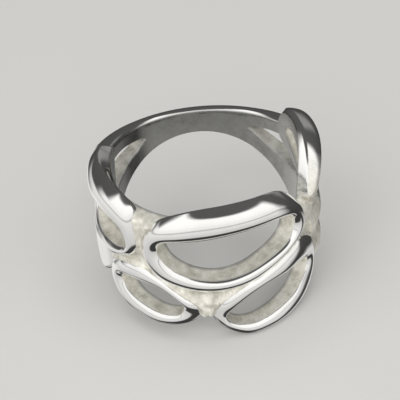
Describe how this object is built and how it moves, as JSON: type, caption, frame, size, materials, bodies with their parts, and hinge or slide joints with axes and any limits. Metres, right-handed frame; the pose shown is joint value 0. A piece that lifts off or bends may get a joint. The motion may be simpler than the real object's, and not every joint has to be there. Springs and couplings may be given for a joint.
{
  "type": "finger ring",
  "caption": "Openwork silver finger ring: irregular oval loops in two rows wrap the front of the band, joined by webs, on a flat shank that forks on each side.",
  "frame": {"origin": "on the axis of the finger bore, halfway up the ring's width", "axes": "+Z along the finger bore towards the edge with the wide loops, -Y towards the front centre of the ring, +X towards the wearer's view of the right side"},
  "size_m": [0.0218, 0.0208, 0.0164],
  "materials": {
    "polished_silver": "mirror-polished sterling silver with fine wear scratches",
    "cast_silver": "as-cast silver, satin and slightly pitted, where polishing can't reach"
  },
  "bodies": {
    "root": {"back_shank": "polished_silver", "left_upper_arm": "polished_silver", "right_upper_arm": "polished_silver", "left_lower_arm": "polished_silver", "right_lower_arm": "polished_silver", "upper_left_oval": "polished_silver", "upper_centre_oval": "polished_silver", "upper_right_oval": "polished_silver", "lower_left_oval": "polished_silver", "lower_right_oval": "polished_silver", "left_web": "cast_silver", "centre_web": "cast_silver", "right_web": "cast_silver", "left_bridge": "cast_silver", "right_bridge": "cast_silver"}
  },
  "joints": []
}
